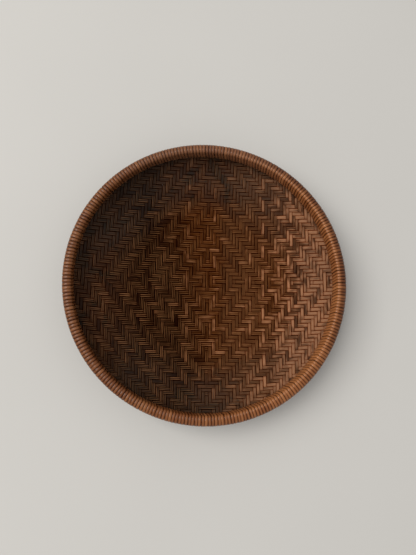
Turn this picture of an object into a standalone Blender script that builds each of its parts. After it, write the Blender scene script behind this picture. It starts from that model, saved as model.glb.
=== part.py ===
# A shallow round basket: a bowl woven of bamboo strips between two bent hoops,
# bound all round the rim with flat cane, and stiffened by splints under its base.
# Metres. The basket stands mouth up on +Z, with the origin on the ground under its centre.
# A plan angle is in radians from +X, anticlockwise seen from above.

import math

import bmesh
import bpy
from mathutils import Matrix, Vector
from mathutils.geometry import delaunay_2d_cdt

# Whole basket
RIM_RADIUS = 0.150          # to the crest of the binding on the outside
MOUTH_DEPTH = 0.042         # top of the rim down to the woven floor
FIT = 0.0003                # gap between two pieces that lie on each other

# Woven bowl
WEAVE_THICKNESS = 0.0016    # two crossing strips
FLOOR_RADIUS = 0.066        # the flat part of the floor
WALL_BEND = 0.007           # inside radius where the wall turns up into the rim
WALL_BEND_STEPS = 3

# Twill of the weave: its strips lie in bands that form nested squares round the middle. Strips
# run along Y (uprights) and along X (cross strips), and their pitch changes slightly on the way
# from the middle to the outermost strips, the shares being counted in them.
BAND = 3                    # strips in a band
FOLD_DEPTH = 0.00045        # of the fold between two bands, on either face
FOLD_WIDTH = 1.5            # in strips, counted like the bands
BAND_STEP = 6               # strips between two points along a band
FOLD_END = 0.0035           # from the ends of the folds to the plain edge of the weave
FOLD_SHARE = 0.96           # share of the wide bend that the bands cover
WEAVE_MIDDLE_X = 0.00245
WEAVE_MIDDLE_Y = 0.00254
UPRIGHT_PITCH = 0.003808
UPRIGHT_DRIFT = -0.00007    # change of pitch towards the outermost strip on +X
UPRIGHTS_EACH_SIDE = 37
CROSS_PITCH = 0.004575
CROSS_DRIFT = 0.0001        # change of pitch towards the outermost strip on +Y
CROSS_CLOSER = 0.000218     # loss of pitch towards the outermost strips on both sides
CROSS_STRIPS_EACH_SIDE = 33

# Hoops
HOOP_THICKNESS = 0.0028
HOOP_HEIGHT = 0.0085
LAP_LENGTH = 0.075          # along the rim, where a hoop's two shaved ends overlap
LAP_TIP = 0.0005            # what is left of the thickness at a shaved tip
INNER_LAP_TURN_SHARE = 0.61     # where round the rim the laps lie
OUTER_LAP_TURN_SHARE = 0.11

# Filler under the crown of the binding
FILLER_HEIGHT = 0.0022
FILLER_CUT = 0.0006         # between its two butted ends
FILLER_CUT_TURN_SHARE = 0.36

# Cane binding
CANE_THICKNESS = 0.0009
CANE_FIT = 0.00035          # looseness of the cane over what it binds
CANE_ROUND = 0.0005         # how far the edges of a turn lie below its middle
CROWN = 0.0024              # how far the rim's two upper edges are rounded off
CANE_END_GAP = 0.0005       # where one length of cane ends and the next begins
CANE_LENGTHS = 4
TURNS_PER_LENGTH = 50
TURNS_PER_LINING_STEP = 2

# Base splints
SPLINT_WIDTH = 0.0085
SPLINT_THICKNESS = 0.0014
SPLINT_EDGE = 0.0003        # the eased edges
SPLINT_OFFSET = 0.038       # from the basket's centre to the middle of a splint
SPLINT_RISE = 0.009         # how far up the bowl a splint reaches before it slips into the weave
SPLINT_TIP = 0.0035         # width of its cut end
SPLINT_TAPER = 0.016        # length over which it narrows to that
SPLINT_RETURN = 0.026       # length over which a lower splint comes back up to the weave
SPLINT_FLAT_STEPS = 3
SPLINT_END_STEPS = 8

TURN_STEPS = 72             # facets round the turned pieces
LAY_STEPS = 8               # in working out how a strip turns on its way up the wall
LIMIT_HALVINGS = 12
NET_SCALE = 0.1             # the net is laid out in units of this length
MERGE = 0.00001
FULL_TURN = 2 * math.pi
SMOOTH_BELOW = math.radians(35)
FOLD_SMOOTH_BELOW = math.radians(9)

# Heights, built up from the ground
LOWER_SPLINT_TOP = SPLINT_THICKNESS
FLOOR_UNDER = LOWER_SPLINT_TOP + FIT + SPLINT_THICKNESS + FIT
FLOOR_TOP = FLOOR_UNDER + WEAVE_THICKNESS
RIM_TOP = FLOOR_TOP + MOUTH_DEPTH
FILLER_UNDER = RIM_TOP - CANE_THICKNESS - CANE_FIT - FILLER_HEIGHT
HOOP_TOP = FILLER_UNDER - FIT
HOOP_UNDER = HOOP_TOP - HOOP_HEIGHT
BINDING_UNDER = HOOP_UNDER - CANE_FIT - CANE_THICKNESS

# Radii, from the outside of the rim inwards
OUTER_HOOP_OUT = RIM_RADIUS - CANE_THICKNESS - CANE_FIT
OUTER_HOOP_IN = OUTER_HOOP_OUT - HOOP_THICKNESS
WEAVE_OUT = OUTER_HOOP_IN - FIT
WEAVE_IN = WEAVE_OUT - WEAVE_THICKNESS
INNER_HOOP_OUT = WEAVE_IN - FIT
INNER_HOOP_IN = INNER_HOOP_OUT - HOOP_THICKNESS
RIM_INNER_RADIUS = INNER_HOOP_IN - CANE_FIT - CANE_THICKNESS

# The wall in section: a wide arc rises off the flat floor and a tight arc turns it up into
# the rim. The two arcs are tangent, and their centres serve both faces of the weave.
WALL_BEND_CENTRE = WEAVE_IN - WALL_BEND
BEND_RUN = WALL_BEND_CENTRE - FLOOR_RADIUS
BEND_RISE = BINDING_UNDER - FLOOR_TOP
FLOOR_BEND = (BEND_RUN ** 2 + BEND_RISE ** 2 - WALL_BEND ** 2) / (2 * (BEND_RISE - WALL_BEND))
WALL_SLOPE = math.asin(BEND_RUN / (FLOOR_BEND - WALL_BEND))     # where the arcs meet


def clear_scene():
    for obj in list(bpy.data.objects):
        bpy.data.objects.remove(obj, do_unlink=True)


def new_collection(name):
    collection = bpy.data.collections.new(name)
    bpy.context.scene.collection.children.link(collection)
    return collection


def new_material(name, colour, roughness):
    material = bpy.data.materials.new(name)
    material.use_nodes = True
    shader = material.node_tree.nodes["Principled BSDF"]
    shader.inputs["Base Color"].default_value = (*colour, 1.0)
    shader.inputs["Roughness"].default_value = roughness
    shader.inputs["Metallic"].default_value = 0.0
    material.diffuse_color = (*colour, 1.0)
    return material


def new_object(name, mesh, collection, material):
    mesh.materials.append(material)
    obj = bpy.data.objects.new(name, mesh)
    collection.objects.link(obj)
    return obj


def loft(name, sections, collection, material):
    """A closed solid through a row of sections, each a ring with the same count of points.
    Where two rings share a point, the faces between them pinch together."""
    bm = bmesh.new()
    rings = [[bm.verts.new(point) for point in section] for section in sections]
    for ring, after in zip(rings, rings[1:]):
        for i in range(len(ring)):
            bm.faces.new((ring[i - 1], ring[i], after[i], after[i - 1]))
    bm.faces.new(rings[0][::-1])
    bm.faces.new(rings[-1])
    bmesh.ops.remove_doubles(bm, verts=bm.verts, dist=MERGE)
    bmesh.ops.recalc_face_normals(bm, faces=bm.faces)
    mesh = bpy.data.meshes.new(name)
    bm.to_mesh(mesh)
    bm.free()
    mesh.shade_smooth()
    mesh.set_sharp_from_angle(angle=SMOOTH_BELOW)
    return new_object(name, mesh, collection, material)


def round_the_rim(outline, angle):
    """Radius and height points, set upright at a plan angle."""
    return [Vector((r * math.cos(angle), r * math.sin(angle), z)) for r, z in outline]


def wall_point(slope, outset):
    """Radius and height where the wall has risen to this slope, moved outwards by outset."""
    if slope <= WALL_SLOPE:
        reach = FLOOR_BEND + outset
        return FLOOR_RADIUS + reach * math.sin(slope), FLOOR_TOP + FLOOR_BEND - reach * math.cos(slope)
    reach = WALL_BEND + outset
    return WALL_BEND_CENTRE + reach * math.sin(slope), BINDING_UNDER - reach * math.cos(slope)


def weave_point(radius, angle, outset):
    """A place on the weave below the wall's tight bend, by its radius on the inner face, moved
    outwards through the weave by outset."""
    if radius <= FLOOR_RADIUS:
        return round_the_rim([(radius, FLOOR_TOP - outset)], angle)[0]
    slope = math.asin((radius - FLOOR_RADIUS) / FLOOR_BEND)
    return round_the_rim([wall_point(slope, outset)], angle)[0]


def radius_along(length):
    """Radius at this length from the middle, measured over the inner face."""
    if length <= FLOOR_RADIUS:
        return length
    return FLOOR_RADIUS + FLOOR_BEND * math.sin((length - FLOOR_RADIUS) / FLOOR_BEND)


def upright_place(strip):
    share = strip / UPRIGHTS_EACH_SIDE
    return WEAVE_MIDDLE_X + strip * (UPRIGHT_PITCH + UPRIGHT_DRIFT * share)


def cross_strip_place(strip):
    share = strip / CROSS_STRIPS_EACH_SIDE
    return WEAVE_MIDDLE_Y + strip * (CROSS_PITCH + CROSS_DRIFT * share - CROSS_CLOSER * share ** 2)


def strip_turn(nearest, radius):
    """Plan angle that a strip passes through between its nearest place to the middle and this
    radius. A stiff strip takes the straightest way over the bowl, so it turns more on a slope."""
    if nearest <= 0:
        return math.pi / 2
    start = max(nearest, FLOOR_RADIUS)
    if radius <= start:
        return math.acos(min(1.0, nearest / radius))
    turn = math.acos(nearest / start)
    step = (radius - start) / LAY_STEPS
    for i in range(LAY_STEPS):
        near = start + step * i
        slope = math.asin((near + step / 2 - FLOOR_RADIUS) / FLOOR_BEND)
        turn += (math.acos(nearest / (near + step)) - math.acos(nearest / near)) / math.cos(slope)
    return turn


def crossing(upright, cross_strip, limit):
    """Radius and plan angle where two strips cross, or None where that is past the limit."""
    x, y = upright_place(upright), cross_strip_place(cross_strip)
    near_x, near_y = radius_along(abs(x)), radius_along(abs(y))
    low, high = max(near_x, near_y, MERGE), limit
    if low > high or strip_turn(near_x, high) + strip_turn(near_y, high) < math.pi / 2:
        return None
    while high - low > MERGE:
        middle = (low + high) / 2
        if strip_turn(near_x, middle) + strip_turn(near_y, middle) < math.pi / 2:
            low = middle
        else:
            high = middle
    angle = strip_turn(near_x, high)
    return high, math.atan2(math.copysign(math.sin(angle), y), math.copysign(math.cos(angle), x))


def band_line(reach, side_x, side_y, limit):
    """Places along the line of crossings in one quarter of the weave whose strips, counted from
    the middle both ways, add up to reach. It stops at the limit."""
    def place(strip):
        return crossing(side_x * strip, side_y * (reach - strip), limit)

    steps = math.ceil(reach / BAND_STEP)
    strips = [(reach + BAND_STEP * i) / 2 for i in range(-steps, steps + 1)]
    strips = [strip for strip in [0.0] + strips + [reach] if 0 <= strip <= reach and place(strip)]
    if not strips:
        return []
    ends = []
    for inside, outside in ((min(strips), 0.0), (max(strips), reach)):
        if not place(outside):
            for _ in range(LIMIT_HALVINGS):
                middle = (inside + outside) / 2
                if place(middle):
                    inside = middle
                else:
                    outside = middle
            outside = inside
        ends.append(outside)
    first, last = ends
    if last - first < BAND_STEP / 4:
        return []
    between = [strip for strip in strips if min(strip - first, last - strip) > BAND_STEP / 4]
    return [place(strip) for strip in [first] + between + [last]]


def band_net(edge_radius):
    """The bands and the folds between them as one net of triangles inside a ring of points at the
    edge: radius, plan angle and depth of each point, the ring's points first, and the triangles."""
    ring = [(edge_radius, FULL_TURN * i / TURN_STEPS, 0.0) for i in range(TURN_STEPS)]
    points, lines = list(ring), [(i, (i + 1) % TURN_STEPS) for i in range(TURN_STEPS)]
    limit = edge_radius - FOLD_END
    known = {}
    fold, found = BAND - 0.5, True
    while found:
        found = False
        for aside, depth in ((-FOLD_WIDTH / 2, 0.0), (0.0, FOLD_DEPTH), (FOLD_WIDTH / 2, 0.0)):
            for side_x, side_y in ((1, 1), (-1, 1), (-1, -1), (1, -1)):
                before = None
                for radius, angle in band_line(fold + aside, side_x, side_y, limit):
                    flat = (radius * math.cos(angle), radius * math.sin(angle))
                    key = tuple(round(value / (10 * MERGE)) for value in flat)
                    if key not in known:
                        known[key] = len(points)
                        points.append((radius, angle, depth))
                    if before is not None and before != known[key]:
                        lines.append((before, known[key]))
                    before = known[key]
                    found = True
        fold += BAND
    flat = [Vector((r * math.cos(a), r * math.sin(a))) / NET_SCALE for r, a, _ in points]
    placed, _, faces, sources, _, _ = delaunay_2d_cdt(flat, lines, [], 0, MERGE)
    if len(placed) != len(points):
        raise ValueError("the bands of the weave cross each other")
    order = [source[0] for source in sources]
    return points, [[order[i] for i in face] for face in faces]


def make_woven_bowl(collection, material):
    """The weave as one shell, open at the mouth, with the twill's bands in both faces. Above them
    it is plain, where the rim covers it, and its cut edge ends under the filler."""
    edge_slope = WALL_SLOPE * FOLD_SHARE
    points, faces = band_net(wall_point(edge_slope, 0.0)[0])
    bm = bmesh.new()
    inside = [bm.verts.new(weave_point(r, a, depth)) for r, a, depth in points]
    outside = [bm.verts.new(weave_point(r, a, WEAVE_THICKNESS - depth)) for r, a, depth in points]
    for face in faces:
        bm.faces.new([inside[i] for i in face])
        bm.faces.new([outside[i] for i in reversed(face)])
    for edge in bm.edges:
        edge.smooth = edge.calc_face_angle(0.0) < FOLD_SMOOTH_BELOW

    left = math.pi / 2 - WALL_SLOPE
    slopes = [WALL_SLOPE + left * step / WALL_BEND_STEPS for step in range(WALL_BEND_STEPS + 1)]
    climb = [wall_point(slope, 0.0) for slope in slopes] + [(WEAVE_IN, HOOP_TOP)]
    climb += [(WEAVE_OUT, HOOP_TOP)] + [wall_point(slope, WEAVE_THICKNESS) for slope in slopes[::-1]]
    rings = [inside[:TURN_STEPS]]
    for outline in climb:
        angles = [FULL_TURN * i / TURN_STEPS for i in range(TURN_STEPS)]
        rings.append([bm.verts.new(round_the_rim([outline], angle)[0]) for angle in angles])
    rings.append(outside[:TURN_STEPS])
    for ring, after in zip(rings, rings[1:]):
        for i in range(TURN_STEPS):
            bm.faces.new((ring[i - 1], ring[i], after[i], after[i - 1]))
    bmesh.ops.recalc_face_normals(bm, faces=bm.faces)
    for face in bm.faces:
        face.smooth = True
    for edge in bm.edges:
        edge.smooth = edge.smooth and edge.calc_face_angle(0.0) < SMOOTH_BELOW
    mesh = bpy.data.meshes.new("woven_bowl")
    bm.to_mesh(mesh)
    bm.free()
    new_object("woven_bowl", mesh, collection, material)


def make_hoop(name, near, far, lap_turn_share, collection, material):
    """A lath bent into a ring. Its two ends are shaved to wedges and lie on each other,
    the first against the inside of the ring and the last against the outside."""
    step = FULL_TURN / TURN_STEPS
    slit = FIT / near
    lap_steps = max(2, round(LAP_LENGTH / near / step))
    wedge = (far - near - 2 * LAP_TIP - FIT) / lap_steps

    stations = [(i * step, near, near + LAP_TIP + wedge * i) for i in range(lap_steps + 1)]
    stations.append((lap_steps * step + 3 * slit, near, far))
    stations += [(i * step, near, far) for i in range(lap_steps + 1, TURN_STEPS)]
    stations.append((FULL_TURN - 3 * slit, near, far))
    stations.append((FULL_TURN - slit, near + LAP_TIP + FIT, far))
    stations += [
        (FULL_TURN + i * step, near + LAP_TIP + wedge * i + FIT, far) for i in range(1, lap_steps + 1)
    ]

    start = round(TURN_STEPS * lap_turn_share) * step
    sections = []
    for angle, inner, outer in stations:
        lath = [(inner, HOOP_UNDER), (outer, HOOP_UNDER), (outer, HOOP_TOP), (inner, HOOP_TOP)]
        sections.append(round_the_rim(lath, start + angle))
    loft(name, sections, collection, material)


def crown_outline(inset):
    """The rounded top of the rim in section, from its inside to its outside, moved in by inset."""
    edge = CROWN + inset * (math.sqrt(2) - 1)
    return [
        (RIM_INNER_RADIUS + inset, RIM_TOP - edge),
        (RIM_INNER_RADIUS + edge, RIM_TOP - inset),
        (RIM_RADIUS - edge, RIM_TOP - inset),
        (RIM_RADIUS - inset, RIM_TOP - edge),
    ]


def make_filler(collection, material):
    """The lath that lies on both hoops and covers the cut edge of the weave, its ends butted."""
    crown = crown_outline(CANE_THICKNESS + CANE_FIT)
    near, far = crown[0][0], crown[-1][0]
    outline = [(near, FILLER_UNDER)] + crown + [(far, FILLER_UNDER)]
    start = FULL_TURN * FILLER_CUT_TURN_SHARE
    sweep = FULL_TURN - FILLER_CUT / near
    angles = [start + sweep * i / TURN_STEPS for i in range(TURN_STEPS + 1)]
    loft("rim_filler", [round_the_rim(outline, angle) for angle in angles], collection, material)


def binding_chain(inset, angle, pitch):
    """The binding in section, moved in by inset, from the weave inside the mouth, over the crown
    and down to the weave outside. The cane comes up slantwise over the inner hoop, one pitch on."""
    under = BINDING_UNDER + inset
    climb = [(INNER_HOOP_OUT, under), (RIM_INNER_RADIUS + inset, under)]
    drop = [(RIM_RADIUS - inset, under), (OUTER_HOOP_IN, under)]
    return round_the_rim(climb, angle - pitch) + round_the_rim(crown_outline(inset) + drop, angle)


def make_binding_length(index, collection, material):
    """One length of cane, wound turn beside turn over the hoops, the weave and the filler. Outside,
    each turn is a crest between two grooves; the lining, which lies on the hoops, is plain."""
    span = FULL_TURN / CANE_LENGTHS
    gap = CANE_END_GAP / RIM_INNER_RADIUS
    start = span * (index - 0.5) + gap / 2
    pitch = (span - gap) / TURNS_PER_LENGTH
    last = 2 * TURNS_PER_LENGTH
    sections = []
    for station in range(last + 1):
        lined = station if station == last else station - station % (2 * TURNS_PER_LINING_STEP)
        inset = 0.0 if station % 2 else CANE_ROUND
        outside = binding_chain(inset, start + pitch * station / 2, pitch)
        lining = binding_chain(CANE_THICKNESS, start + pitch * lined / 2, pitch)
        sections.append(outside + lining[::-1])
    loft(f"binding_cane_{index + 1}", sections, collection, material)


def under_weave(radius, gap):
    """Height of the surface that lies this far outside the weave's lower face."""
    if radius <= FLOOR_RADIUS:
        return FLOOR_UNDER - gap
    reach = FLOOR_BEND + WEAVE_THICKNESS + gap
    return FLOOR_TOP + FLOOR_BEND - math.sqrt(reach ** 2 - (radius - FLOOR_RADIUS) ** 2)


def smooth_step(share):
    share = min(max(share, 0.0), 1.0)
    return share * share * (3 - 2 * share)


def splint_section(along, side, half_length, lower):
    """A splint's section at this place along it: four points on two faces parallel to the weave.
    A lower splint hangs below the upper pair until it is past them."""
    drop = SPLINT_THICKNESS + FIT if lower else 0.0
    past = (abs(along) - SPLINT_OFFSET - SPLINT_WIDTH) / SPLINT_RETURN
    gap = FIT + drop * (1 - smooth_step(past))
    narrowed = max(0.0, 1 - (half_length - abs(along)) / SPLINT_TAPER)
    half_width = (SPLINT_WIDTH + (SPLINT_TIP - SPLINT_WIDTH) * narrowed) / 2
    near, far = side * SPLINT_OFFSET - half_width, side * SPLINT_OFFSET + half_width
    section = []
    for across, depth in ((near, gap), (far, gap), (far, gap + SPLINT_THICKNESS), (near, gap + SPLINT_THICKNESS)):
        section.append(Vector((along, across, under_weave(math.hypot(along, across), depth))))
    return section


def make_splint(name, side, lower, collection, material):
    """A splint under the base. Its two ends run up the bowl and are cut to narrow tips."""
    end_height = FLOOR_UNDER - FIT + SPLINT_RISE
    reach = FLOOR_BEND + WEAVE_THICKNESS + FIT
    end_radius = FLOOR_RADIUS + math.sqrt(reach ** 2 - (FLOOR_TOP + FLOOR_BEND - end_height) ** 2)
    half_length = math.sqrt(end_radius ** 2 - SPLINT_OFFSET ** 2)
    flat = SPLINT_OFFSET + SPLINT_WIDTH
    half = [flat * i / SPLINT_FLAT_STEPS for i in range(SPLINT_FLAT_STEPS)]
    half += [flat + (half_length - flat) * i / SPLINT_END_STEPS for i in range(SPLINT_END_STEPS + 1)]
    stations = [-along for along in half[:0:-1]] + half
    sections = [splint_section(along, side, half_length, lower) for along in stations]
    splint = loft(name, sections, collection, material)
    if lower:
        splint.data.transform(Matrix.Rotation(math.pi / 2, 4, "Z"))
    edges = splint.modifiers.new("eased_edges", "BEVEL")
    edges.width = SPLINT_EDGE
    edges.segments = 1
    edges.limit_method = "ANGLE"


def main():
    clear_scene()
    basket = new_collection("zaru_basket")
    weave = new_material("woven_bamboo", (0.115, 0.052, 0.024), 0.55)
    lath = new_material("bamboo_lath", (0.23, 0.12, 0.055), 0.6)
    cane = new_material("flat_cane", (0.27, 0.098, 0.035), 0.42)
    splint = new_material("bamboo_splint", (0.19, 0.095, 0.042), 0.5)

    make_woven_bowl(basket, weave)
    make_hoop("inner_hoop", INNER_HOOP_IN, INNER_HOOP_OUT, INNER_LAP_TURN_SHARE, basket, lath)
    make_hoop("outer_hoop", OUTER_HOOP_IN, OUTER_HOOP_OUT, OUTER_LAP_TURN_SHARE, basket, lath)
    make_filler(basket, lath)
    for index in range(CANE_LENGTHS):
        make_binding_length(index, basket, cane)
    make_splint("upper_splint_front", -1, False, basket, splint)
    make_splint("upper_splint_back", 1, False, basket, splint)
    make_splint("lower_splint_right", -1, True, basket, splint)
    make_splint("lower_splint_left", 1, True, basket, splint)
    print("across", RIM_RADIUS * 2, "height", RIM_TOP, "mouth", RIM_INNER_RADIUS * 2)


main()
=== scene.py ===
import math
import random

import bpy
import numpy as np
from mathutils import Matrix, Vector


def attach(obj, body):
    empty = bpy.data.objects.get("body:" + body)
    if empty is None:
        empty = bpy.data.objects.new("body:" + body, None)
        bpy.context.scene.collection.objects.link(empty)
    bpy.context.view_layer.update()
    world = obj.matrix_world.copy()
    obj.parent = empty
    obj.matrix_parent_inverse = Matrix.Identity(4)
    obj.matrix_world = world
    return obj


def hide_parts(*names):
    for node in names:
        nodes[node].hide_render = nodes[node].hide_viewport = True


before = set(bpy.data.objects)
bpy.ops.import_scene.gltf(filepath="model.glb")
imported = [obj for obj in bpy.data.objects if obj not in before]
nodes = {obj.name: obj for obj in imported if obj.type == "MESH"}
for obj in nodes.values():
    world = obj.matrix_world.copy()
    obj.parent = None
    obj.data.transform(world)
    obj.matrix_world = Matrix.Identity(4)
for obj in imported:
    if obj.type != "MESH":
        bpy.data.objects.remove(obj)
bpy.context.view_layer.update()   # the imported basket, mouth up on +Z, in metres
fullTurn = 2 * math.pi
print("frame loaded:", len(nodes), "nodes")


# Small helpers

def selectNone():
    if bpy.context.object and bpy.context.object.mode == "EDIT":
        bpy.ops.object.mode_set(mode="OBJECT")
    bpy.ops.object.select_all(action="DESELECT")


def writeAttribute(mesh, name, values):
    layer = mesh.attributes.new(name, "FLOAT", "POINT")
    layer.data.foreach_set("value", np.asarray(values, np.float32))


def writeUv(mesh, points):   # points: one along, across pair for each vertex
    layer = mesh.uv_layers.new(name="lay")
    corner = np.zeros(len(mesh.loops), np.int32)
    mesh.loops.foreach_get("vertex_index", corner)
    layer.data.foreach_set("uv", np.asarray(points, np.float32)[corner].ravel())


def buildMesh(name, points, faces):
    mesh = bpy.data.meshes.new(name)
    mesh.from_pydata(points.tolist(), [], faces)
    mesh.shade_smooth()
    piece = bpy.data.objects.new(name, mesh)
    bpy.context.scene.collection.objects.link(piece)
    return piece


# The shape that carries the weave, as in the solids: a flat floor, a wide bend up the wall,
# a tight bend at the rim and a straight edge between the hoops

bowl = {
    "floorTop": 0.005,
    "floorRadius": 0.066,
    "weaveDepth": 0.0016,      # two crossing strips
    "wallBendCentre": 0.13705,
    "wallBend": 0.007,         # inside radius of the tight bend
    "bendTop": 0.0335,
    "edgeTop": 0.0430,         # where the strips are cut, under the filler
    "step": 0.0001,            # between the places of its section
}
paths = {
    "step": 0.0005,            # along a strip up the wall
    "floorSteps": 140,         # along a strip over half the floor
    "past": 0.004,             # how far a path runs on past the top edge
    "longest": 0.3,
    "feel": 0.0002,            # length over which the wall's lean is measured
    # of the table of paths below
    "tableStep": 0.001, "tableRows": 260, "tableColumns": 420,
    "tableShort": 0.0005, "tablePast": 0.003,
}


def bowlSection(made):   # middle of the weave: length from the centre, radius, height, slope
    run = made["wallBendCentre"] - made["floorRadius"]
    rise = made["bendTop"] - made["floorTop"]
    floorBend = (run ** 2 + rise ** 2 - made["wallBend"] ** 2) / (2 * (rise - made["wallBend"]))
    joinSlope = math.asin(run / (floorBend - made["wallBend"]))
    half = made["weaveDepth"] / 2
    low, tight = floorBend + half, made["wallBend"] + half
    lengths = [made["floorRadius"], low * joinSlope, tight * (math.pi / 2 - joinSlope)]
    lengths.append(made["edgeTop"] - made["bendTop"])
    along = np.arange(0.0, sum(lengths), made["step"])
    slope = np.zeros_like(along)
    radius, height = along.copy(), np.full_like(along, made["floorTop"] - half)
    start = lengths[0]
    on = along > start
    slope[on] = (along[on] - start) / low
    radius[on] = made["floorRadius"] + low * np.sin(slope[on])
    height[on] = made["floorTop"] + floorBend - low * np.cos(slope[on])
    start += lengths[1]
    on = along > start
    slope[on] = joinSlope + (along[on] - start) / tight
    radius[on] = made["wallBendCentre"] + tight * np.sin(slope[on])
    height[on] = made["bendTop"] - tight * np.cos(slope[on])
    start += lengths[2]
    on = along > start
    slope[on] = math.pi / 2
    radius[on] = made["wallBendCentre"] + tight
    height[on] = made["bendTop"] + along[on] - start
    return {
        "along": along, "radius": radius, "height": height, "slope": slope,
        "join": lengths[0] + lengths[1], "joinSlope": joinSlope,
    }


section = bowlSection(bowl)
topLength = section["along"][-1]


def layRadius(along):   # the wall laid open as a cone above the tight bend, which the rim folds up
    wall = np.interp(along, section["along"], section["radius"])
    cone = np.interp(section["join"], section["along"], section["radius"])
    cone = cone + (along - section["join"]) * math.cos(section["joinSlope"])
    return np.where(along > section["join"], cone, wall)


def stripPath(nearest, step=paths["step"]):
    # A stiff strip runs the straightest way over the bowl. It starts at its nearest place to the
    # centre, and comes back as length along the strip, length from the centre, and plan angle.
    strip, along, angle = [0.0], [nearest], [0.0]
    floorRadius = bowl["floorRadius"]
    climb = 0.0
    if nearest < floorRadius:   # straight over the flat floor
        reach = math.sqrt(floorRadius ** 2 - nearest ** 2)
        for run in np.linspace(0, reach, paths["floorSteps"])[1:]:
            strip.append(run)
            along.append(math.hypot(nearest, run))
            angle.append(math.atan2(run, nearest))
        climb = reach / floorRadius
    narrow = float(layRadius(nearest))
    feel = paths["feel"]
    while along[-1] < topLength + paths["past"] and strip[-1] < paths["longest"]:
        here = float(layRadius(along[-1]))
        lean = (float(layRadius(along[-1] + feel)) - here) / feel
        climb = min(1.0, climb + step * lean * narrow ** 2 / here ** 3)
        strip.append(strip[-1] + step)
        along.append(along[-1] + step * climb)
        angle.append(angle[-1] + step * narrow / here ** 2)
    return np.array(strip), np.array(along), np.array(angle)


print("bowl section:", len(section["along"]), "places, top at", round(topLength, 4))


# Which strip of the other family passes over a place: a table of paths, read backwards

tableNearest = np.linspace(0.0, topLength - paths["tableShort"], paths["tableRows"])
tableAlong = np.linspace(0.0, topLength + paths["tablePast"], paths["tableColumns"])
pathTable = np.zeros((len(tableNearest), len(tableAlong)))
for row, nearest in enumerate(tableNearest):
    _, along, angle = stripPath(float(nearest), paths["tableStep"])
    climbed = np.maximum.accumulate(along + np.arange(len(along)) * 1e-9)   # always rising
    pathTable[row] = np.where(tableAlong <= nearest, 0.0, np.interp(tableAlong, climbed, angle))
print("path table:", pathTable.shape)


def nearestOf(along, angle):   # along from the centre and angle from the axis -> nearest length
    column = np.clip(along / tableAlong[-1] * (len(tableAlong) - 1), 0, len(tableAlong) - 1.001)
    left = column.astype(int)
    share = column - left
    found = np.zeros_like(along)
    for i in range(len(along)):
        angles = pathTable[:, left[i]] * (1 - share[i]) + pathTable[:, left[i] + 1] * share[i]
        found[i] = np.interp(angle[i], angles[::-1], tableNearest[::-1])
    return found


# Woven strips

uprights = {
    "count": (-40, 40), "middle": 0.00245, "pitch": 0.003808, "spread": -0.0000695,
    "closer": 0.0, "last": 37, "width": (0.99, 1.02), "turned": 0.0, "side": 1,
}
crossStrips = {
    "count": (-34, 36), "middle": 0.00254, "pitch": -0.004575, "spread": 0.0001001,
    "closer": 0.000218, "last": 33, "width": (0.99, 1.018), "turned": math.pi / 2, "side": -1,
}
strips = {
    "thickness": 0.00062,
    "lift": 0.00040,           # of a strip's middle over or under the middle of the weave
    "bow": 0.00010,            # more of it, halfway over three strips
    "overThree": 6,            # the twill repeats over this many strips, half of them on top
    "reach": 60,               # crossings counted on each side of the middle, more than there are
    "field": 55,               # and strips of the other family placed there
    "stationsEach": 4,         # places along a strip for each strip that it crosses
    "endGap": 0.06,            # least distance of such a place from the strip's ends, in strips
    "sway": 0.00012, "swayWaves": (25, 45),      # how far and how often it wanders sideways
    "swell": 0.02, "swellWaves": (30, 60),       # and grows wider and narrower
    "tone": 0.45, "toneSpread": 0.11, "toneLimits": (0.05, 0.95),
    "grainStep": 0.0071,       # between the grain of neighbouring strips
    "group": 6, "seed": 11,
}
# A strip in section: place across in half widths, height in half thicknesses
stripSection = [
    (-1.0, -0.40), (-0.84, 0.42), (-0.50, 1.0), (0.50, 1.0),
    (0.84, 0.42), (1.0, -0.40), (0.90, -1.0), (-0.90, -1.0),
]


def stripPlace(family, index):
    share = index / family["last"]
    pitch = family["pitch"] + family["spread"] * share + family["closer"] * share * share
    return family["middle"] + index * pitch


def fieldOf(family):   # places of a family's strips, rising, with their indexes
    index = np.arange(-strips["field"], strips["field"] + 1)
    place = np.array([stripPlace(family, float(i)) for i in index])
    order = np.argsort(place)
    return place[order], index[order].astype(float)


def onTop(upright, cross):   # the figure of the weave: nested squares round the middle
    return (abs(upright) + abs(cross)) % strips["overThree"] < strips["overThree"] // 2


def waveOf(family, index):   # heights of a strip where it crosses the others
    rows = np.arange(-strips["reach"], strips["reach"] + 1)
    top = [onTop(index, r) if family["side"] > 0 else not onTop(r, index) for r in rows]
    height = []
    for i in range(len(rows)):
        middle = 0 < i < len(rows) - 1 and top[i - 1] == top[i] == top[i + 1]
        lift = strips["lift"] + (strips["bow"] if middle else 0.0)
        height.append(lift if top[i] else -lift)
    return np.array(height)


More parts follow.
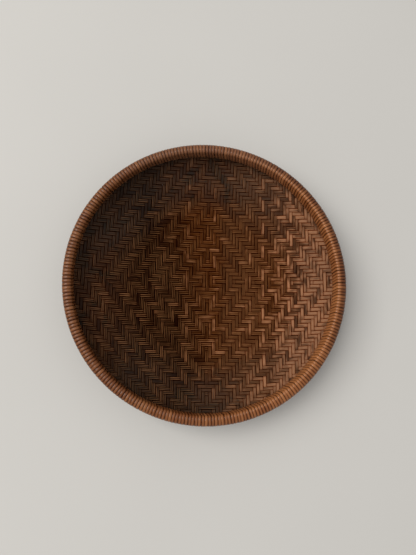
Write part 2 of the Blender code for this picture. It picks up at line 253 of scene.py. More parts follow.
def strandPoints(family, other, index, chance):
    place = stripPlace(family, index)
    nearest, way = abs(place), math.copysign(1, place)
    run, along, turn = stripPath(nearest)
    run = np.concatenate([-run[:0:-1], run])
    along = np.concatenate([along[:0:-1], along])
    turn = np.concatenate([-turn[:0:-1], turn])
    # measured from the strip's own axis; seen from the other family's axis it is a quarter less
    otherPlace = nearestOf(along, math.pi / 2 - np.abs(turn)) * np.sign(turn)
    if family["side"] < 0:
        otherPlace = -otherPlace * way
    else:
        otherPlace = otherPlace * way
    place, number = fieldOf(other)
    crossed = np.interp(otherPlace, place, number)
    if crossed[0] > crossed[-1]:
        run, along, turn, crossed = run[::-1], along[::-1], turn[::-1], crossed[::-1]
    kept = along <= topLength
    crossed = np.maximum.accumulate(crossed + np.arange(len(crossed)) * 1e-7)   # always rising
    first, last = crossed[kept][0], crossed[kept][-1]
    each = strips["stationsEach"]
    marks = np.arange(math.ceil(first * each), math.floor(last * each) + 1) / each
    inside = (marks > first + strips["endGap"]) & (marks < last - strips["endGap"])
    marks = np.concatenate([[first], marks[inside], [last]])
    along = np.clip(np.interp(marks, crossed, along), 0, topLength)
    turn = np.interp(marks, crossed, turn)
    run = np.interp(marks, crossed, run)
    radius = np.interp(along, section["along"], section["radius"])
    height = np.interp(along, section["along"], section["height"])
    slope = np.interp(along, section["along"], section["slope"])
    plan = family["turned"] + (0 if way > 0 else math.pi) + turn
    centre = np.stack([radius * np.cos(plan), radius * np.sin(plan), height], 1)
    normal = np.stack([
        -np.sin(slope) * np.cos(plan), -np.sin(slope) * np.sin(plan), np.cos(slope)], 1)
    wave = waveOf(family, index)
    lower = np.floor(marks)
    share = marks - lower
    at = (lower + strips["reach"]).astype(int)
    share = share * share * (3 - 2 * share)   # eased in and out
    rise = wave[at] * (1 - share) + wave[at + 1] * share
    heading = np.gradient(centre, axis=0)
    heading -= normal * np.sum(heading * normal, 1, keepdims=True)
    heading /= np.linalg.norm(heading, axis=1, keepdims=True)
    across = np.cross(normal, heading)
    sway = strips["sway"] * np.sin(
        run * chance.uniform(*strips["swayWaves"]) + chance.uniform(0, fullTurn))
    centre = centre + across * sway[:, None] + normal * rise[:, None]
    # the section turns with the rise and fall
    heading = np.gradient(centre, axis=0)
    heading /= np.linalg.norm(heading, axis=1, keepdims=True)
    up = np.cross(heading, across)
    pitch = abs(stripPlace(family, index + 0.5) - stripPlace(family, index - 0.5))
    width = pitch * chance.uniform(*family["width"])
    width = width * (1 + strips["swell"] * np.sin(
        run * chance.uniform(*strips["swellWaves"]) + chance.uniform(0, fullTurn)))
    dip = np.clip(0.5 - rise / (2 * strips["lift"]), 0, 1)
    return centre, across, up, width, dip, run


def makeStrips(family, other, name, tones):
    chance = random.Random(strips["seed"] + family["last"])
    first, last = family["count"]
    least, most = strips["toneLimits"]
    around = len(stripSection)
    pieces = []
    for number, start in enumerate(range(first, last + 1, strips["group"])):
        points, faces, lay, tone, dips, acrosses = [], [], [], [], [], []
        for index in range(start, min(start + strips["group"], last + 1)):
            centre, across, up, width, dip, run = strandPoints(family, other, index, chance)
            shade = chance.gauss(strips["tone"], strips["toneSpread"])
            shade = tones.get(index, min(max(shade, least), most))
            base = len(points)
            for i in range(len(centre)):
                for side, high in stripSection:
                    offset = across[i] * side * width[i] / 2 + up[i] * high * strips["thickness"] / 2
                    points.append(centre[i] + offset)
                    lay.append((run[i], index * strips["grainStep"] + side * width[i] / 2))
                    tone.append(shade)
                    dips.append(dip[i] if high > -0.5 else 1 - dip[i])
                    acrosses.append(side)
            for i in range(len(centre) - 1):
                for k in range(around):
                    a, b = base + i * around + k, base + i * around + (k + 1) % around
                    faces.append((a, a + around, b + around, b))
            faces.append(tuple(base + k for k in range(around)))
            end = base + (len(centre) - 1) * around
            faces.append(tuple(end + k for k in range(around))[::-1])
        piece = buildMesh(f"{name}_{number + 1:02d}", np.array(points), faces)
        writeUv(piece.data, lay)
        writeAttribute(piece.data, "tone", tone)
        writeAttribute(piece.data, "dip", dips)
        writeAttribute(piece.data, "across", acrosses)
        pieces.append(piece)
    print(name, len(pieces), "groups,", sum(len(p.data.polygons) for p in pieces), "faces")
    return pieces


# strips that stand out from the rest: paler above 0.6, darker below 0.3
uprightTones = {-7: 0.63, -25: 0.2, -31: 0.15, -36: 0.12, 13: 0.64, 25: 0.64}
crossTones = {
    -11: 0.62, -8: 0.60, -5: 0.58, 6: 0.63, 12: 0.62, 18: 0.62, -22: 0.2, -28: 0.18, 24: 0.25,
}
uprightPieces = makeStrips(uprights, crossStrips, "upright_strips", uprightTones)
crossPieces = makeStrips(crossStrips, uprights, "cross_strips", crossTones)


# Cane binding: one turn is modelled at plan angle 0 and copied round the rim

cane = {
    "turns": (67, 65, 63, 69),   # in the length at +X, +Y, -X and -Y
    "width": 0.00352, "thickness": 0.00092,
    "outRadius": 0.150, "inRadius": 0.1397, "top": 0.047, "under": 0.0335,
    # the inner side stands in most at this plan angle: by so much on top, and at its lower edge
    "insetAngle": -0.35, "inset": (0.0012, 0.0027),
    "insetFrom": 0.001,          # inside the middle of the rim
    "slantShare": 0.5,           # of the step to the next turn: inside the rim, the rest below it
    "innerCrown": 0.0028, "outerCrown": 0.0050, "lowerCorner": 0.0012,
    "crownSteps": (3, 4), "cornerSteps": 2, "sideSteps": 2,
    "merge": 0.000005,           # points of a turn this close are joined
    # peeled cane in section, in half widths and half thicknesses: domed skin, keeled back
    "section": [(0, 1), (0.75, 0.8), (1, 0.15), (0, -1), (-1, 0.15), (-0.75, 0.8)],
    "seed": 5,
    "jitter": 0.00016,           # of a turn sideways
    "skew": 0.00024, "skewSpread": 0.5,
    "lift": 0.00010,             # of a turn off the rim
    "drift": (0.8, 0.2),         # how much of the lift before is kept, and how much is new
    "halfRim": 0.005,            # the distance that skew and lift are measured at
    "tone": 0.5, "toneSpread": 0.16, "toneLimits": (0.05, 0.95),
    "grainRound": 0.0075, "grainAlong": 0.053, "grainAcross": 0.0057,
}
weaveRadius = bowl["wallBendCentre"] + bowl["wallBend"] + bowl["weaveDepth"] / 2


def makeTurn(made):
    half = made["thickness"] / 2
    inner, outer = made["inRadius"] + half, made["outRadius"] - half
    top, under = made["top"] - half, made["under"] + half
    pitch = fullTurn / sum(made["turns"]) * made["outRadius"]
    selectNone()
    bpy.ops.mesh.primitive_circle_add(
        vertices=len(made["section"]), radius=0.5, fill_type="NOTHING",
        location=(weaveRadius, -pitch, under), rotation=(0, math.pi / 2, 0))
    turn = bpy.context.object
    turn.name = "cane_turn"
    bpy.ops.object.transform_apply(location=True, rotation=True, scale=True)
    for point, (side, high) in zip(turn.data.vertices, made["section"]):
        point.co.y = -pitch + side * made["width"] / 2
        point.co.z = under - high * half
    bpy.ops.object.mode_set(mode="EDIT")
    bpy.ops.mesh.select_all(action="SELECT")

    def pull(x, y, z, steps=1):
        for _ in range(steps):
            bpy.ops.mesh.extrude_edges_move(
                TRANSFORM_OT_translate={"value": (x / steps, y / steps, z / steps)})

    def bend(x, z, steps):   # a quarter turn about a centre in the upright section
        bpy.ops.mesh.spin(
            steps=steps, angle=math.pi / 2, center=(x, 0, z), axis=(0, -1, 0))

    low, near, far = made["lowerCorner"], made["innerCrown"], made["outerCrown"]
    nearSteps, farSteps = made["crownSteps"]
    pull(inner + low - weaveRadius, pitch * (1 - made["slantShare"]), 0)
    bend(inner + low, under + low, made["cornerSteps"])
    pull(0, pitch * made["slantShare"], top - near - under - low, made["sideSteps"])
    bend(inner + near, top - near, nearSteps)
    pull(outer - far - inner - near, 0, 0)
    bend(outer - far, top - far, farSteps)
    pull(0, 0, under + low - top + far)
    bend(outer - low, under + low, made["cornerSteps"])
    pull(weaveRadius - outer + low, 0, 0)
    bpy.ops.mesh.select_all(action="SELECT")
    bpy.ops.mesh.remove_doubles(threshold=made["merge"])
    bpy.ops.mesh.select_all(action="DESELECT")
    bpy.ops.mesh.select_non_manifold()
    bpy.ops.mesh.fill_holes(sides=0)
    bpy.ops.mesh.select_all(action="SELECT")
    bpy.ops.mesh.normals_make_consistent(inside=False)
    bpy.ops.object.mode_set(mode="OBJECT")
    print("one turn:", len(turn.data.polygons), "faces", [round(v, 4) for v in turn.dimensions])
    return turn, pitch


turn, turnPitch = makeTurn(cane)
turnPoints = np.array([v.co[:] for v in turn.data.vertices])
turnFaces = [tuple(p.vertices) for p in turn.data.polygons]
bpy.data.objects.remove(turn, do_unlink=True)

# Where each point of a turn lies: down the inner side, along under the rim, across the cane
middleRadius = (cane["inRadius"] + cane["outRadius"]) / 2
middleHeight = (cane["top"] + cane["under"]) / 2
sideLow = cane["under"] + cane["thickness"] / 2 + cane["lowerCorner"]
sideHigh = cane["top"] - cane["thickness"] / 2 - cane["innerCrown"]
down = np.clip((sideHigh - turnPoints[:, 2]) / (sideHigh - sideLow), 0, 1)
underFrom = cane["inRadius"] + cane["thickness"] / 2 + cane["lowerCorner"]
below = np.clip((turnPoints[:, 0] - underFrom) / (weaveRadius - underFrom), 0, 1)
insetTop, insetLow = cane["inset"]
inset = np.where(
    turnPoints[:, 0] < middleRadius - cane["insetFrom"], insetTop + down * (insetLow - insetTop), 0.0)
slant = down * (cane["slantShare"] + below * (1 - cane["slantShare"]))
slant = np.where(turnPoints[:, 0] < middleRadius, -slant * turnPitch, 0.0)
offCentre = (turnPoints[:, 1] - slant) / (cane["width"] / 2)      # -1 to 1 across the cane
roundTurn = np.arctan2(turnPoints[:, 2] - middleHeight, middleRadius - turnPoints[:, 0])
fan = turnPoints[:, 0] / cane["outRadius"]                        # turns crowd towards the inside


def makeCane(made, number):
    chance = random.Random(made["seed"] + number)
    points, faces, lay, tone, crest = [], [], [], [], []
    drift = 0.0
    turns, lengths = made["turns"][number], len(made["turns"])
    packed = sum(made["turns"]) / lengths / turns   # cane is narrower where turns are closer
    kept, fresh = made["drift"]
    least, most = made["toneLimits"]
    for k in range(turns):
        one = turnPoints * (1, packed, 1)
        one[:, 1] = (one[:, 1] + chance.uniform(-1, 1) * made["jitter"]) * fan
        skew = chance.gauss(0, made["skewSpread"])
        one[:, 1] += (one[:, 0] - middleRadius) / made["halfRim"] * skew * made["skew"]
        drift = kept * drift + fresh * chance.uniform(-1, 1)
        swell = 1 + (0.5 * drift + 0.5 * chance.uniform(-1, 0)) * made["lift"] / made["halfRim"]
        one[:, 0] = middleRadius + (one[:, 0] - middleRadius) * swell
        one[:, 2] = middleHeight + (one[:, 2] - middleHeight) * swell
        plan = fullTurn / lengths * (number - 0.5 + (k + 0.5) / turns)
        one[:, 0] -= inset * (1 + math.cos(plan - made["insetAngle"])) / 2
        c, s = math.cos(plan), math.sin(plan)
        base = k * len(turnPoints)
        points.append(np.stack([
            one[:, 0] * c - one[:, 1] * s, one[:, 0] * s + one[:, 1] * c, one[:, 2]], 1))
        faces += [tuple(base + v for v in face) for face in turnFaces]
        shade = min(max(chance.gauss(made["tone"], made["toneSpread"]), least), most)
        tone.append(np.full(len(turnPoints), shade))
        crest.append(1 - np.abs(offCentre))
        lay.append(np.stack([
            roundTurn * made["grainRound"] + k * made["grainAlong"],
            offCentre * made["width"] / 2 + k * made["grainAcross"]], 1))
    piece = buildMesh(f"cane_length_{number + 1}", np.concatenate(points), faces)
    writeUv(piece.data, np.concatenate(lay))
    writeAttribute(piece.data, "tone", np.concatenate(tone))
    writeAttribute(piece.data, "crest", np.concatenate(crest))
    return piece


canePieces = [makeCane(cane, number) for number in range(len(cane["turns"]))]
print("cane binding:", sum(len(p.data.polygons) for p in canePieces), "faces")


# Shared shader effects, each built once

def newGroup(name, inputs, outputs):
    group = bpy.data.node_groups.new(name, "ShaderNodeTree")
    for label, kind, value in inputs:
        socket = group.interface.new_socket(name=label, in_out="INPUT", socket_type=kind)
        if value is not None:
            socket.default_value = value
    for label, kind in outputs:
        group.interface.new_socket(name=label, in_out="OUTPUT", socket_type=kind)
    return group, group.nodes.new("NodeGroupInput"), group.nodes.new("NodeGroupOutput")


def mathNode(tree, operation, a, b=None, clamp=False):
    node = tree.nodes.new("ShaderNodeMath")
    node.operation = operation
    node.use_clamp = clamp
    for slot, value in enumerate((a, b)):
        if value is None:
            continue
        if isinstance(value, (int, float)):
            node.inputs[slot].default_value = value
        else:
            tree.links.new(value, node.inputs[slot])
    return node.outputs[0]


def mixColour(tree, factor, a, b, blend="MIX"):
    node = tree.nodes.new("ShaderNodeMix")
    node.data_type = "RGBA"
    node.blend_type = blend
    for slot, value in ((0, factor), (6, a), (7, b)):
        if isinstance(value, (int, float)):
            node.inputs[slot].default_value = value
        elif isinstance(value, tuple):
            node.inputs[slot].default_value = (*value, 1.0)
        else:
            tree.links.new(value, node.inputs[slot])
    return node.outputs[2]


def ramp(tree, factor, stops):
    node = tree.nodes.new("ShaderNodeValToRGB")
    while len(node.color_ramp.elements) < len(stops):
        node.color_ramp.elements.new(0.5)
    for element, (place, colour) in zip(node.color_ramp.elements, stops):
        element.position = place
        element.color = (*colour, 1.0)
    tree.links.new(factor, node.inputs[0])
    return node.outputs[0]


def spread(tree, value, low, high, toLow=0.0, toHigh=1.0):
    node = tree.nodes.new("ShaderNodeMapRange")
    node.interpolation_type = "SMOOTHSTEP"
    for slot, number in zip(("From Min", "From Max", "To Min", "To Max"), (low, high, toLow, toHigh)):
        node.inputs[slot].default_value = number
    tree.links.new(value, node.inputs["Value"])
    return node.outputs["Result"]


def noise(tree, vector, scale, detail, roughness=0.55):
    node = tree.nodes.new("ShaderNodeTexNoise")
    node.inputs["Scale"].default_value = scale
    node.inputs["Detail"].default_value = detail
    node.inputs["Roughness"].default_value = roughness
    tree.links.new(vector, node.inputs["Vector"])
    return node.outputs["Fac"]


def stretched(tree, vector, scale):
    node = tree.nodes.new("ShaderNodeVectorMath")
    node.operation = "MULTIPLY"
    node.inputs[1].default_value = scale
    tree.links.new(vector, node.inputs[0])
    return node.outputs[0]


def axes(tree, vector):
    node = tree.nodes.new("ShaderNodeSeparateXYZ")
    tree.links.new(vector, node.inputs[0])
    return node.outputs


def fromMiddle(tree, place):   # distance from the basket's upright axis
    node = tree.nodes.new("ShaderNodeVectorMath")
    node.operation = "LENGTH"
    tree.links.new(stretched(tree, place, (1.0, 1.0, 0.0)), node.inputs[0])
    return node.outputs["Value"]


fibreLook = {   # scale along and across, detail, roughness
    "Fine": ((55.0, 4200.0, 1.0), 3.0, 0.6),
    "Broad": ((22.0, 900.0, 1.0), 2.0, 0.55),
    "Cloud": ((28.0, 60.0, 1.0), 3.0, 0.55),
    "Patch": ((75.0, 150.0, 1.0), 1.0, 0.55),
}
fibreCut = (0.3, 0.7)   # the part of the noise that is drawn out to 0 and 1
grimeLook = {"scale": 14.0, "detail": 4.0, "roughness": 0.6, "cut": (0.35, 0.68)}


def makeFibreGroup(made):   # lengthwise fibres on a vector of metres along and across
    group, given, result = newGroup(
        "fibres",
        [("Vector", "NodeSocketVector", None)],
        [(name, "NodeSocketFloat") for name in made])
    for name, (scale, detail, roughness) in made.items():
        vector = stretched(group, given.outputs["Vector"], scale)
        value = noise(group, vector, 1.0, detail, roughness)
        group.links.new(spread(group, value, *fibreCut), result.inputs[name])
    return group


def makeGrimeGroup(made):   # blotches of old dust and handling, which darken or dull a surface
    group, given, result = newGroup(
        "handling",
        [("Vector", "NodeSocketVector", None), ("Size", "NodeSocketFloat", 1.0)],
        [("Blotch", "NodeSocketFloat")])
    scaled = group.nodes.new("ShaderNodeVectorMath")
    scaled.operation = "SCALE"
    group.links.new(given.outputs["Vector"], scaled.inputs[0])
    group.links.new(given.outputs["Size"], scaled.inputs["Scale"])
    blotch = noise(group, scaled.outputs[0], made["scale"], made["detail"], made["roughness"])
    group.links.new(spread(group, blotch, *made["cut"]), result.inputs["Blotch"])
    return group


fibreGroup, grimeGroup = makeFibreGroup(fibreLook), makeGrimeGroup(grimeLook)


def useGroup(tree, group, vector, **values):
    node = tree.nodes.new("ShaderNodeGroup")
    node.node_tree = group
    tree.links.new(vector, node.inputs["Vector"])
    for label, value in values.items():
        node.inputs[label].default_value = value
    return node.outputs


def startMaterial(name):
    material = bpy.data.materials.new(name)
    material.use_nodes = True
    tree = material.node_tree
    shader = tree.nodes["Principled BSDF"]
    return material, tree, shader


def readAttribute(tree, name):
    node = tree.nodes.new("ShaderNodeAttribute")
    node.attribute_name = name
    return node.outputs["Fac"]


def readLay(tree):   # metres along and across a strip or cane
    node = tree.nodes.new("ShaderNodeUVMap")
    node.uv_map = "lay"
    return node.outputs[0]


def readPlace(tree):
    return tree.nodes.new("ShaderNodeTexCoord").outputs["Object"]


def times(tree, total, *others):
    for other in others:
        total = mathNode(tree, "MULTIPLY", total, other)
    return total


def setSurface(tree, shader, colour, rough, gloss):
    tree.links.new(colour, shader.inputs["Base Color"])
    tree.links.new(rough, shader.inputs["Roughness"])
    shader.inputs["Specular IOR Level"].default_value = gloss


def addBump(tree, shader, height, strength, distance):
    bump = tree.nodes.new("ShaderNodeBump")
    bump.inputs["Strength"].default_value = strength
    bump.inputs["Distance"].default_value = distance
    tree.links.new(height, bump.inputs["Height"])
    tree.links.new(bump.outputs[0], shader.inputs["Normal"])


def weighted(tree, start, *parts):   # start plus each value times its weight
    total = start
    for value, weight in parts:
        node = tree.nodes.new("ShaderNodeMath")
        node.operation = "MULTIPLY_ADD"
        tree.links.new(value, node.inputs[0])
        node.inputs[1].default_value = weight
        if isinstance(total, (int, float)):
            node.inputs[2].default_value = total
        else:
            tree.links.new(total, node.inputs[2])
        total = node.outputs[0]
    return total


# Woven strips. An effect is absent at the first number of its pair and full at the second. Two
# more numbers, where there are any, are its strength at these two.

stripLook = {
    "dark": (0.044, 0.0112, 0.0016), "middle": (0.081, 0.0209, 0.0026),
    "pale": (0.455, 0.213, 0.112), "wearAndHighlight": (0.58, 0.284, 0.110),
    "start": -0.44, "broad": 0.24, "cloud": 0.18, "patch": 0.22,
    "litSide": (0.040, 0.140), "litSidePainted": 0.22, "uneven": 0.42,   # paler towards +X: painted light on the lit side
    "brim": (0.100, 0.135), "brimSide": (0.0, 0.06), "paintedBrimLight": 0.20,   # and paler up the wall there: painted light
    "paintedLightFrom": (0.010, 0.028), "paintedLightTo": (0.090, 0.050),     # painted sheen, right of the middle
    "paintedLight": 0.11, "paintedLightColour": (0.22, 0.13, 0.07),
    "paintedShadeAt": (0.018, -0.054), "paintedShadeLean": 0.22,                  # painted shade at -X
    "spared": (-0.120, -0.080, 0.50, 1.0), "paintedShade": (0.222, 0.153, 0.122),
    "lean": -0.9,                                                 # darker towards +Y
    "spotSize": 5.0, "spotCut": (0.60, 0.95), "spotted": (0.085, 0.110),   # damp marks the wall
    "spotSide": (0.07, 0.03), "spot": (0.30, 0.34, 0.42),
    "grain": 0.42, "grainShade": (0.42, 0.30, 0.24),
    "edge": (0.22, 0.46), "edgeEnd": (0.66, 0.54),                # pale lines beside the edges: wear and painted highlight
    "edgeStart": -0.1, "edgeCloud": 0.5, "edgePale": 0.9, "edgeWearAndHighlight": 0.36,
    "dustAndSheen": (0.058, 0.0475, 0.0395), "dustAndSheenAt": (0.075, 0.128), "dustAndSheenBlotch": 0.5,
    "dustAndSheenUp": (-0.04, 0.10, 0.38, 0.55),                          # dust and painted sheen up the wall, more at +Y
    # painted shade in the gaps between strips and where a strip dips under another
    "gapShade": (0.42, 0.150, 0.025), "gapShadeEdge": (0.50, 0.86), "gapShadeStrength": 0.94, "dipShade": 0.92,
    "roughness": 0.48, "roughCloud": 0.14, "roughGapShade": 0.3, "gloss": 0.01,
    "bump": (0.5, 0.00006),
}


def makeStripMaterial(name, made):
    material, tree, shader = startMaterial(name)
    place = readPlace(tree)
    fibres = useGroup(tree, fibreGroup, readLay(tree))
    grime = useGroup(tree, grimeGroup, place, Size=1.0)
    x, y, _ = axes(tree, place)
    distance = fromMiddle(tree, place)
    # painted light: paler towards +X, the lit side
    litSidePainted = spread(tree, x, *made["litSide"])
    # painted light up the wall at +X, near the rim
    brim = times(tree, spread(tree, distance, *made["brim"]), spread(tree, x, *made["brimSide"]))
    value = weighted(
        tree, made["start"], (readAttribute(tree, "tone"), 1.0), (fibres["Broad"], made["broad"]),
        (fibres["Cloud"], made["cloud"]), (fibres["Patch"], made["patch"]),
        (litSidePainted, made["litSidePainted"]), (brim, made["paintedBrimLight"]), (y, made["lean"]),
        (times(tree, fibres["Patch"], litSidePainted), made["uneven"]))
    colour = ramp(tree, value, [(0.0, made["dark"]), (0.5, made["middle"]), (1.0, made["pale"])])
    # painted shade at -X, eased off at the far left
    paintedShade = spread(tree, weighted(tree, x, (y, made["paintedShadeLean"])), *made["paintedShadeAt"])
    paintedShade = times(tree, paintedShade, spread(tree, x, *made["spared"]))
    colour = mixColour(tree, paintedShade, colour, made["paintedShade"], "MULTIPLY")
    # painted sheen, right of the middle
    paintedLight = times(
        tree, spread(tree, x, *made["paintedLightFrom"]), spread(tree, x, *made["paintedLightTo"]),
        made["paintedLight"])
    colour = mixColour(tree, paintedLight, colour, made["paintedLightColour"])
    spots = useGroup(tree, grimeGroup, place, Size=made["spotSize"])["Blotch"]
    spots = times(
        tree, spread(tree, spots, *made["spotCut"]), spread(tree, distance, *made["spotted"]),
        spread(tree, x, *made["spotSide"]))
    colour = mixColour(tree, spots, colour, made["spot"], "MULTIPLY")
    fine = times(tree, fibres["Fine"], made["grain"])
    colour = mixColour(tree, fine, colour, made["grainShade"], "MULTIPLY")
    across = mathNode(tree, "ABSOLUTE", readAttribute(tree, "across"))
    # pale lines beside the edges: wear and painted highlight
    lineWearAndHighlight = weighted(
        tree, made["edgeStart"], (fibres["Cloud"], made["edgeCloud"]), (value, made["edgePale"]))
    line = times(
        tree, spread(tree, across, *made["edge"]), spread(tree, across, *made["edgeEnd"]), lineWearAndHighlight)
    line = mathNode(tree, "MULTIPLY", line, made["edgeWearAndHighlight"], clamp=True)
    colour = mixColour(tree, line, colour, made["wearAndHighlight"])
    # dust and painted sheen up the wall
    blotch = weighted(tree, 1 - made["dustAndSheenBlotch"], (grime["Blotch"], made["dustAndSheenBlotch"]))
    dustAndSheen = times(
        tree, blotch, spread(tree, distance, *made["dustAndSheenAt"]), spread(tree, y, *made["dustAndSheenUp"]))
    colour = mixColour(tree, dustAndSheen, colour, made["dustAndSheen"])
    # painted shade in the gaps between neighbouring strips
    gapShade = times(tree, spread(tree, across, *made["gapShadeEdge"]), made["gapShadeStrength"])
    colour = mixColour(tree, gapShade, colour, made["gapShade"], "MULTIPLY")
    # painted shade where the strip dips under the other family
    dip = times(tree, readAttribute(tree, "dip"), made["dipShade"])
    colour = mixColour(tree, dip, colour, made["gapShade"], "MULTIPLY")
    rough = weighted(
        tree, made["roughness"], (fibres["Cloud"], made["roughCloud"]), (gapShade, made["roughGapShade"]))
    setSurface(tree, shader, colour, rough, made["gloss"])
    addBump(tree, shader, fibres["Fine"], *made["bump"])
    return material


# Cane of the rim

caneLook = {
    "groove": (0.094, 0.0280, 0.0100), "body": (0.133, 0.0385, 0.0105),
    "crest": (0.218, 0.070, 0.0203), "wearAndHighlight": (0.43, 0.174, 0.063),
    "broad": 0.35, "start": 0.17,
    "back": (0.45, 0.90), "backStart": 0.40, "backCloud": 0.45,   # pale along the back of a turn: wear and painted highlight
    # painted shade in the grooves between turns
    "grooved": (0.0, 0.26),
    "grain": 0.42, "grainShade": (0.45, 0.36, 0.32),
    "grimeSize": 2.2, "blotch": 0.4, "blotchShade": (0.62, 0.45, 0.38),
    # painted highlight along the ridge at +X
    "ridgeFrom": (0.1388, 0.1400), "ridgeTo": (0.1432, 0.1414), "ridgeTop": (0.0448, 0.0464),
    "ridgeSide": (0.0, 0.06, 0.0, 0.42), "skin": (0.0, 0.3),
    # darker at -X, as the weave is, and dust and painted sheen at +Y
    "darkerAtMinusX": (0.10, -0.15, 0.0, 0.36), "darkerAtMinusXColour": (0.1, 0.08, 0.07),
    "dustAndSheenAt": (0.09, 0.145, 0.0, 0.24), "dustAndSheen": (0.145, 0.098, 0.075),
    # painted shade on the outer side at +X
    "outerShadeFrom": (0.1405, 0.1450), "outerShadeLean": 0.35, "outerShadeSide": (0.05, 0.155, 0.0, 0.85),
    "outerShade": (0.46, 0.42, 0.40),
    # painted light inside, in front at +X
    "paintedLightIn": (0.1405, 0.1388), "paintedLightLean": -0.7, "paintedLightSide": (0.10, 0.17, 0.0, 0.45),
    "roughness": (0.0, 1.0, 0.24, 0.36), "gloss": 0.26, "bump": (0.4, 0.00005),
}


def makeCaneMaterial(name, made):
    material, tree, shader = startMaterial(name)
    place = readPlace(tree)
    fibres = useGroup(tree, fibreGroup, readLay(tree))
    grime = useGroup(tree, grimeGroup, place, Size=made["grimeSize"])
    value = times(tree, fibres["Broad"], made["broad"])
    value = mathNode(tree, "ADD", value, readAttribute(tree, "tone"))
    value = mathNode(tree, "SUBTRACT", value, made["start"], clamp=True)
    colour = ramp(tree, value, [(0.0, made["body"]), (0.5, made["crest"]), (1.0, made["wearAndHighlight"])])
    crest = readAttribute(tree, "crest")
    # pale along the back of each turn: wear and painted highlight
    back = times(
        tree, spread(tree, crest, *made["back"]),
        weighted(tree, made["backStart"], (fibres["Cloud"], made["backCloud"])))
    colour = mixColour(tree, back, colour, made["wearAndHighlight"])
    # painted shade in the grooves between turns
    colour = mixColour(tree, spread(tree, crest, *made["grooved"]), made["groove"], colour)
    fine = times(tree, fibres["Fine"], made["grain"])
    colour = mixColour(tree, fine, colour, made["grainShade"], "MULTIPLY")
    blotch = times(tree, grime["Blotch"], made["blotch"])
    colour = mixColour(tree, blotch, colour, made["blotchShade"], "MULTIPLY")
    x, y, z = axes(tree, place)
    distance = fromMiddle(tree, place)
    skin = spread(tree, crest, *made["skin"])
    # painted highlight along the ridge at +X
    ridgeHighlight = times(
        tree, spread(tree, distance, *made["ridgeFrom"]), spread(tree, distance, *made["ridgeTo"]),
        spread(tree, z, *made["ridgeTop"]), spread(tree, x, *made["ridgeSide"]), skin)
    colour = mixColour(tree, ridgeHighlight, colour, made["wearAndHighlight"])
    darkerAtMinusX = spread(tree, x, *made["darkerAtMinusX"])
    colour = mixColour(tree, darkerAtMinusX, colour, made["darkerAtMinusXColour"], "MULTIPLY")
    # dust and painted sheen at +Y
    dustAndSheenAt = spread(tree, y, *made["dustAndSheenAt"])
    colour = mixColour(tree, dustAndSheenAt, colour, made["dustAndSheen"])
    # painted shade on the outer side at +X
    outerShade = times(
        tree, spread(tree, distance, *made["outerShadeFrom"]),
        spread(tree, weighted(tree, x, (y, made["outerShadeLean"])), *made["outerShadeSide"]))
    colour = mixColour(tree, outerShade, colour, made["outerShade"], "MULTIPLY")
    # painted light inside, in front at +X
    paintedLight = times(
        tree, spread(tree, distance, *made["paintedLightIn"]),
        spread(tree, weighted(tree, x, (y, made["paintedLightLean"])), *made["paintedLightSide"]), skin)
    colour = mixColour(tree, paintedLight, colour, made["wearAndHighlight"])
    rough = spread(tree, fibres["Cloud"], *made["roughness"])
    setSurface(tree, shader, colour, rough, made["gloss"])
    addBump(tree, shader, fibres["Fine"], *made["bump"])
    return material


# Split bamboo of the hoops and splints: straight grain on Object coordinates

lathLook = {
    "hoop": ((0.13, 0.058, 0.024), (0.33, 0.175, 0.08)),         # dark and pale
    "splint": ((0.095, 0.038, 0.013), (0.265, 0.122, 0.046)),
    "broad": 0.6, "cloud": 0.4,
    "rimRadius": 0.145,        # at which the grain's length round the rim is measured
    "grain": 0.4, "grainShade": (0.4, 0.34, 0.3),
    "grimeSize": 1.6, "blotch": 0.45, "blotchShade": (0.5, 0.4, 0.35),
    # a joint of the bamboo crosses each splint
    "joint": 0.017, "jointRing": (0.0050, 0.0012, 0.0, 0.5), "jointShade": (0.4, 0.33, 0.3),
    "jointLine": (0.0009, 0.0004), "jointDark": (0.36, 0.2, 0.1),
    "roughness": (0.0, 1.0, 0.42, 0.62), "gloss": 0.15, "bump": (0.5, 0.00006),
}


def makeLathMaterial(name, made, tones, turned=False, rim=False):
    material, tree, shader = startMaterial(name)
    place = readPlace(tree)
    dark, pale = tones
    if rim:   # grain runs round the rim: radius and height across, angle along
        x, y, z = axes(tree, place)
        join = tree.nodes.new("ShaderNodeCombineXYZ")
        angle = mathNode(tree, "ARCTAN2", y, x)
        tree.links.new(times(tree, angle, made["rimRadius"]), join.inputs[0])
        tree.links.new(mathNode(tree, "ADD", fromMiddle(tree, place), z), join.inputs[1])
        vector = join.outputs[0]
    else:
        turner = tree.nodes.new("ShaderNodeMapping")
        turner.inputs["Rotation"].default_value = (0, 0, math.pi / 2 if turned else 0)
        tree.links.new(place, turner.inputs["Vector"])
        vector = turner.outputs[0]
    fibres = useGroup(tree, fibreGroup, vector)
    grime = useGroup(tree, grimeGroup, place, Size=made["grimeSize"])
    value = mathNode(
        tree, "ADD", times(tree, fibres["Broad"], made["broad"]),
        times(tree, fibres["Cloud"], made["cloud"]))
    colour = ramp(tree, value, [(0.0, dark), (1.0, pale)])
    fine = times(tree, fibres["Fine"], made["grain"])
    colour = mixColour(tree, fine, colour, made["grainShade"], "MULTIPLY")
    blotch = times(tree, grime["Blotch"], made["blotch"])
    colour = mixColour(tree, blotch, colour, made["blotchShade"], "MULTIPLY")
    if not rim:
        joint = mathNode(tree, "SUBTRACT", axes(tree, vector)[0], made["joint"])
        joint = mathNode(tree, "ABSOLUTE", joint)
        ring = spread(tree, joint, *made["jointRing"])
        colour = mixColour(tree, ring, colour, made["jointShade"], "MULTIPLY")
        colour = mixColour(tree, spread(tree, joint, *made["jointLine"]), colour, made["jointDark"])
    rough = spread(tree, fibres["Cloud"], *made["roughness"])
    setSurface(tree, shader, colour, rough, made["gloss"])
    addBump(tree, shader, fibres["Fine"], *made["bump"])
    return material


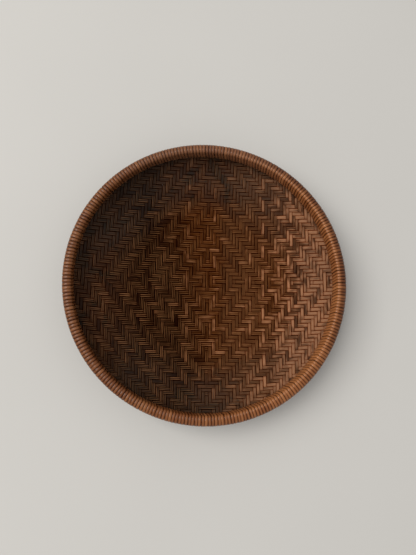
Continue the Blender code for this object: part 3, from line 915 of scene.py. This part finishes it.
stripFinish = makeStripMaterial("woven_bamboo_strip", stripLook)
caneFinish = makeCaneMaterial("rim_cane", caneLook)
hoopFinish = makeLathMaterial("hoop_lath", lathLook, lathLook["hoop"], rim=True)
splintAlongX = makeLathMaterial("splint_along_x", lathLook, lathLook["splint"])
splintAlongY = makeLathMaterial("splint_along_y", lathLook, lathLook["splint"], turned=True)
print("materials:", len(bpy.data.materials))


# Finishes and bodies

for piece in uprightPieces + crossPieces:
    piece.data.materials.append(stripFinish)
    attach(piece, "root")
    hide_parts("woven_bowl")
for number, piece in enumerate(canePieces):
    piece.data.materials.append(caneFinish)
    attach(piece, "root")
    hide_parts(f"binding_cane_{number + 1}")
for name in ("inner_hoop", "outer_hoop", "rim_filler"):
    nodes[name].material_slots[0].material = hoopFinish
for name in ("upper_splint_front", "upper_splint_back"):
    nodes[name].material_slots[0].material = splintAlongX
for name in ("lower_splint_right", "lower_splint_left"):
    nodes[name].material_slots[0].material = splintAlongY


# Floor, light and camera

stage = {
    "size": 6.0, "colour": (0.62, 0.612, 0.592), "roughness": 0.9, "gloss": 0.1,
    "mottleScale": 3.0, "mottleDetail": 2.0, "mottle": (0.3, 0.7), "mottled": 0.97,
    "sky": 0.50, "skyColour": (1.0, 0.985, 0.96, 1.0), "backdrop": 0.78,
}
selectNone()
bpy.ops.mesh.primitive_plane_add(size=stage["size"], location=(0, 0, 0))
floor = bpy.context.object
floor.name = "floor"
material, tree, shader = startMaterial("floor_paper")
soft = noise(tree, readPlace(tree), stage["mottleScale"], stage["mottleDetail"])
duller = tuple(c * stage["mottled"] for c in stage["colour"])
paper = ramp(tree, soft, list(zip(stage["mottle"], (duller, stage["colour"]))))
tree.links.new(paper, shader.inputs["Base Color"])
shader.inputs["Roughness"].default_value = stage["roughness"]
shader.inputs["Specular IOR Level"].default_value = stage["gloss"]
floor.data.materials.append(material)

world = bpy.data.worlds.new("studio")
world.use_nodes = True
bpy.context.scene.world = world
tree = world.node_tree
tree.nodes["Background"].inputs["Color"].default_value = stage["skyColour"]
tree.nodes["Background"].inputs["Strength"].default_value = stage["sky"]
seen = tree.nodes.new("ShaderNodeBackground")
brightest = max(stage["colour"])
backdrop = (c / brightest * stage["backdrop"] for c in stage["colour"])
seen.inputs["Color"].default_value = (*backdrop, 1.0)
swap = tree.nodes.new("ShaderNodeMixShader")
tree.links.new(tree.nodes.new("ShaderNodeLightPath").outputs["Is Camera Ray"], swap.inputs[0])
tree.links.new(tree.nodes["Background"].outputs[0], swap.inputs[1])
tree.links.new(seen.outputs[0], swap.inputs[2])
tree.links.new(swap.outputs[0], tree.nodes["World Output"].inputs["Surface"])

key = {
    "place": (-2.12, 0.47, 2.80), "aim": (0, 0, 0.02), "power": 92.0, "size": 2.4,
    "colour": (1.0, 0.97, 0.93),
}
lamp = bpy.data.lights.new("key", "AREA")
lamp.energy = key["power"]
lamp.size = key["size"]
lamp.color = key["colour"]
holder = bpy.data.objects.new("key", lamp)
bpy.context.scene.collection.objects.link(holder)
holder.location = key["place"]
beam = Vector(key["aim"]) - Vector(key["place"])
holder.rotation_euler = beam.to_track_quat("-Z", "Y").to_euler()

view = {
    "aim": (0, 0, 0.047), "distance": 0.4335, "tilt": math.radians(-9.68),
    "turn": math.radians(4.72), "roll": math.radians(0.84),
    "right": -0.000456, "up": -0.000368, "nearest": 0.01,
    "focal": 416, "pictureHeight": 555, "sensor": 36,
}
back = Vector((
    -math.sin(view["turn"]) * math.cos(view["tilt"]), math.sin(view["tilt"]),
    math.cos(view["turn"]) * math.cos(view["tilt"])))
right = Vector((0, 1, 0)).cross(back).normalized()
up = back.cross(right)
c, s = math.cos(view["roll"]), math.sin(view["roll"])
right, up = right * c + up * s, up * c - right * s
camera = bpy.data.objects.new("camera", bpy.data.cameras.new("camera"))
bpy.context.scene.collection.objects.link(camera)
camera.data.sensor_width = view["sensor"]
camera.data.lens = view["focal"] / view["pictureHeight"] * view["sensor"]
camera.data.clip_start = view["nearest"]
place = Vector(view["aim"]) + back * view["distance"] + right * view["right"] + up * view["up"]
camera.matrix_world = Matrix.Translation(place) @ Matrix((right, up, back)).transposed().to_4x4()
bpy.context.scene.camera = camera
bpy.context.scene.view_settings.view_transform = "Standard"
